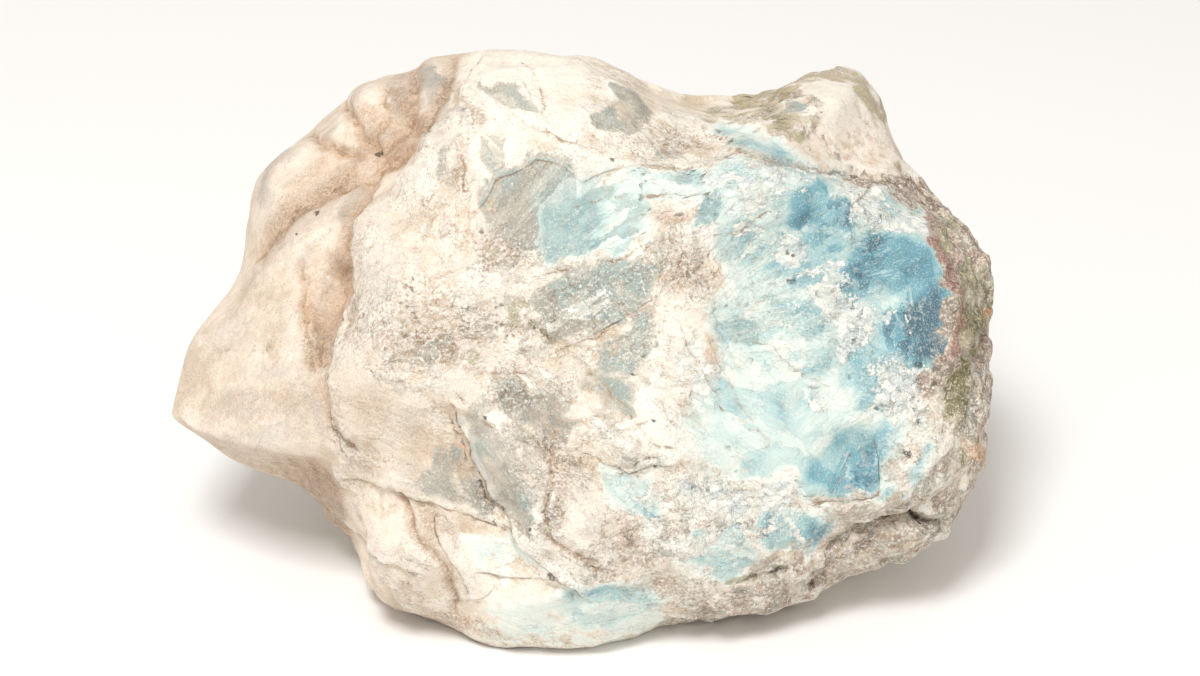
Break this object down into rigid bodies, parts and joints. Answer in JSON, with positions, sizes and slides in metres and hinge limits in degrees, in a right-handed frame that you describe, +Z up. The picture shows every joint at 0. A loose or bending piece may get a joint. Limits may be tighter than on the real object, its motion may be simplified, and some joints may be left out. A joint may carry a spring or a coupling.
{
  "type": "raw larimar",
  "caption": "Raw lump of larimar: a leaning broken face with a blue field, a smooth worn wing, a hump behind and a rough rind round one end.",
  "frame": {"origin": "middle of the stone's outline in plan, at the level of the flat it rests on", "axes": "+X across the broken face, from the worn wing to the rind; -Y out in front of the broken face; +Z up"},
  "size_m": [0.112, 0.0754, 0.0687],
  "materials": {
    "larimar_stone": "rough broken stone, cream and white with a pale to deep blue field and a grey-brown rind"
  },
  "bodies": {
    "root": {"larimar": "larimar_stone"}
  },
  "joints": []
}
